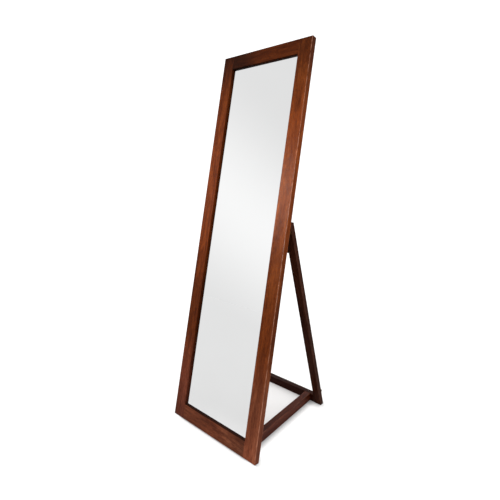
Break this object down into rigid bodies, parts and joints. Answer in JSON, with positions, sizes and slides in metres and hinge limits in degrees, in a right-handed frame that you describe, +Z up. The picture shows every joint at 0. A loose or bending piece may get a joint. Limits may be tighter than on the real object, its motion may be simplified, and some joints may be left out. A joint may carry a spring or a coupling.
{
  "type": "cheval floor mirror",
  "caption": "Full-length wooden framed mirror leaning back on a folding rear stand, with hinged legs, a hinged floor base and swing hooks.",
  "frame": {"origin": "on the floor, at the centre of the footprint", "axes": "+X to the right seen from the front, +Y to the back, +Z up; the mirror faces -Y and leans back towards +Y"},
  "size_m": [0.494, 0.487, 1.6117],
  "materials": {
    "frame_wood": "dark red-brown stain with a semi-gloss lacquer",
    "stand_wood": "dark red-brown stain with a satin lacquer",
    "mirror": "clear silvered float glass",
    "backing_board": "plain brown hardboard",
    "dowel_wood": "plain light beech",
    "hinge_brass": "dull antique brass plate",
    "screw_brass": "dull antique brass plate",
    "hook_steel": "zinc-plated pressed steel",
    "fastener_steel": "zinc-plated turned steel"
  },
  "bodies": {
    "frame": {"left_stile": "frame_wood", "right_stile": "frame_wood", "top_rail": "frame_wood", "bottom_rail": "frame_wood", "frame_dowels": "dowel_wood", "mirror_glass": "mirror", "backing_panel": "backing_board", "left_bead": "frame_wood", "right_bead": "frame_wood", "top_bead": "frame_wood", "bottom_bead": "frame_wood", "bead_brads": "fastener_steel", "left_leg_hinge_frame_leaf": "hinge_brass", "right_leg_hinge_frame_leaf": "hinge_brass", "left_leg_hinge_pin": "hinge_brass", "right_leg_hinge_pin": "hinge_brass", "leg_hinge_frame_screws": "screw_brass", "left_base_hinge_frame_leaf": "hinge_brass", "right_base_hinge_frame_leaf": "hinge_brass", "left_base_hinge_pin": "hinge_brass", "right_base_hinge_pin": "hinge_brass", "base_hinge_frame_screws": "screw_brass"},
    "leg_frame": {"left_leg": "stand_wood", "right_leg": "stand_wood", "leg_top_rail": "stand_wood", "leg_rail_dowels": "dowel_wood", "left_leg_hinge_leg_leaf": "hinge_brass", "right_leg_hinge_leg_leaf": "hinge_brass", "leg_hinge_leg_screws": "screw_brass", "hook_posts": "fastener_steel"},
    "base": {"left_stretcher": "stand_wood", "right_stretcher": "stand_wood", "rear_rail": "stand_wood", "base_dowels": "dowel_wood", "left_base_hinge_base_leaf": "hinge_brass", "right_base_hinge_base_leaf": "hinge_brass", "base_hinge_base_screws": "screw_brass", "hook_studs": "fastener_steel"},
    "left_hook": {"left_hook": "hook_steel"},
    "right_hook": {"right_hook": "hook_steel"}
  },
  "joints": [
    {"name": "leg_fold", "type": "hinge", "parent": "frame", "child": "leg_frame", "pos_m": [0, -0.01217, 0.87105], "axis": [-1, 0, 0], "range_deg": [0, 27.6]},
    {"name": "base_fold", "type": "hinge", "parent": "frame", "child": "base", "pos_m": [0, -0.20726, 0.0393], "axis": [1, 0, 0], "range_deg": [0, 76.8]},
    {"name": "right_hook_swing", "type": "hinge", "parent": "leg_frame", "child": "right_hook", "pos_m": [0.229, 0.2397, 0.056], "axis": [0, -1, 0], "range_deg": [0, 315.9]},
    {"name": "left_hook_swing", "type": "hinge", "parent": "leg_frame", "child": "left_hook", "pos_m": [-0.229, 0.2397, 0.056], "axis": [0, 1, 0], "range_deg": [0, 315.9]}
  ]
}
